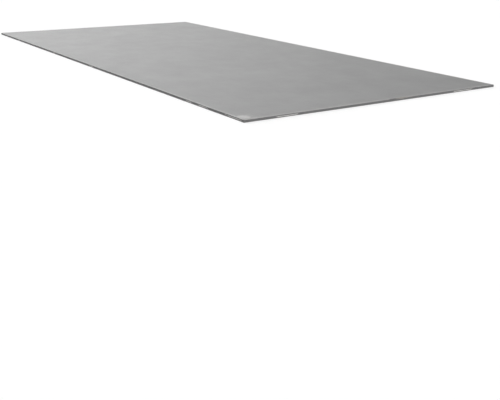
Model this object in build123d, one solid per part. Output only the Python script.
from build123d import *
import os
from math import cos, radians, sin

# An anti-slip plywood sheet: one full panel of birch plywood, faced with a grey film and
# sealed with paint on its edges, lying flat with the anti-slip face up.
# Lengths are in millimetres. X runs along the long sides, Y across the sheet and Z up.
# The origin is on the floor, below the middle of the sheet. The front corner is at +X, -Y.

# The sheet, in a standard format
length = 2440.0
width = 1220.0
thickness = 9.0
ply_count = 7

# What sawing, sanding and handling leave on its outline
arris_ease = 0.4
corner_round = 2.0

# The front corner, knocked on its top: how far the bruise runs along each edge, and its drop
bruise_run = 9.0
bruise_drop = 1.2

# The chip in the top arris of the front end, broken out ply by ply
chip_from_front_corner = 699.0
chip_run = 118.0
chip_reach = 6.5
chip_plies = 3
# Each lower ply has lost less: its share of the chip's run and reach
chip_ply_shares = (1.0, 0.66, 0.3)
# The ragged line where a ply broke off: shares of the run from its middle, and of the reach
chip_outline_shares = (
    (-0.50, 0.00),
    (-0.44, 0.38),
    (-0.27, 0.62),
    (-0.17, 0.50),
    (0.04, 0.93),
    (0.20, 1.00),
    (0.29, 0.71),
    (0.42, 0.46),
    (0.50, 0.00),
)

# Rubbed places on the lower arrises, where the sheet was slid and strapped
rub_height = 2.4
rub_slant = 20.0
# Each place is its middle, measured from the front corner, and its run along the edge
end_rubs = ((177.0, 102.0), (1038.0, 124.0))
side_rubs = ((60.0, 100.0), (253.0, 68.0), (346.0, 30.0), (1193.0, 26.0), (1636.0, 14.0),
             (2142.0, 16.0), (2327.0, 12.0))

# How far a cutting shape stands past what it cuts
overrun = 2.0

ply = thickness / ply_count
front_end = length / 2
near_side = -width / 2


def bare_panel():
    """The sheet as sawn, with its upright corners rubbed round and its arrises sanded."""
    outline = RectangleRounded(length, width, corner_round)
    panel = extrude(outline, amount=thickness)
    by_height = panel.faces().sort_by(Axis.Z)
    arrises = by_height[0].edges() + by_height[-1].edges()
    return chamfer(arrises, arris_ease)


def corner_bruise():
    """What is missing above a flat that slopes down towards the front corner."""
    on_end = Vector(front_end, near_side + bruise_run, thickness)
    on_side = Vector(front_end - bruise_run, near_side, thickness)
    below_corner = Vector(front_end, near_side, thickness - bruise_drop)
    uphill = (on_end - below_corner).cross(on_side - below_corner)
    flat = Plane(origin=below_corner, x_dir=on_side - on_end, z_dir=uphill)
    reach = 2 * bruise_run
    return flat * Box(reach, reach, overrun, align=(Align.CENTER, Align.CENTER, Align.MIN))


def broken_ply(step, share):
    """The bit that one ply has lost, carried up through the sheet's top."""
    points = [(front_end - chip_reach * share * inward, chip_run * share * along)
              for along, inward in chip_outline_shares]
    first, last = points[0], points[-1]
    points += [(front_end + overrun, last[1]), (front_end + overrun, first[1])]
    middle = near_side + chip_from_front_corner
    floor = thickness - (step + 1) * ply
    bit = make_face(Polyline(*points, close=True))
    return Pos(0, middle, floor) * extrude(bit, amount=thickness)


def end_chip():
    """All that has broken out of the front end, wide and shallow at the top."""
    bits = [broken_ply(step, share) for step, share in enumerate(chip_ply_shares[:chip_plies])]
    return bits


def rub(outward, middle, run):
    """A long shallow scallop in a lower arris, deepest in its middle."""
    up = Vector(0, 0, 1)
    slant = radians(rub_slant)
    depth = rub_height * sin(slant)
    along = up.cross(outward)
    worn_face = Plane(origin=middle, x_dir=along, z_dir=outward * sin(slant) + up * cos(slant))
    half = run / 2
    bow = ThreePointArc((-half, 0), (0, depth), (half, 0))
    rim = Polyline((half, 0), (half, -overrun), (-half, -overrun), (-half, 0))
    return extrude(worn_face * make_face(bow + rim), amount=thickness, both=True)


def all_rubs():
    """The rubbed places of the front end and of the near long side."""
    end = [rub(Vector(1, 0, 0), Vector(front_end, near_side + place, 0), run)
           for place, run in end_rubs]
    side = [rub(Vector(0, -1, 0), Vector(front_end - place, near_side, 0), run)
            for place, run in side_rubs]
    return end + side


def plywood_sheet():
    """The whole sheet, one solid."""
    sheet = bare_panel() - corner_bruise()
    for cut in end_chip() + all_rubs():
        sheet = sheet - cut
    return sheet


os.makedirs("parts", exist_ok=True)
sheet = plywood_sheet()
export_step(sheet, "parts/plywood_sheet.step")
print("plies of", round(ply, 3), "mm; volume", round(sheet.volume / 1e6, 4), "litres")
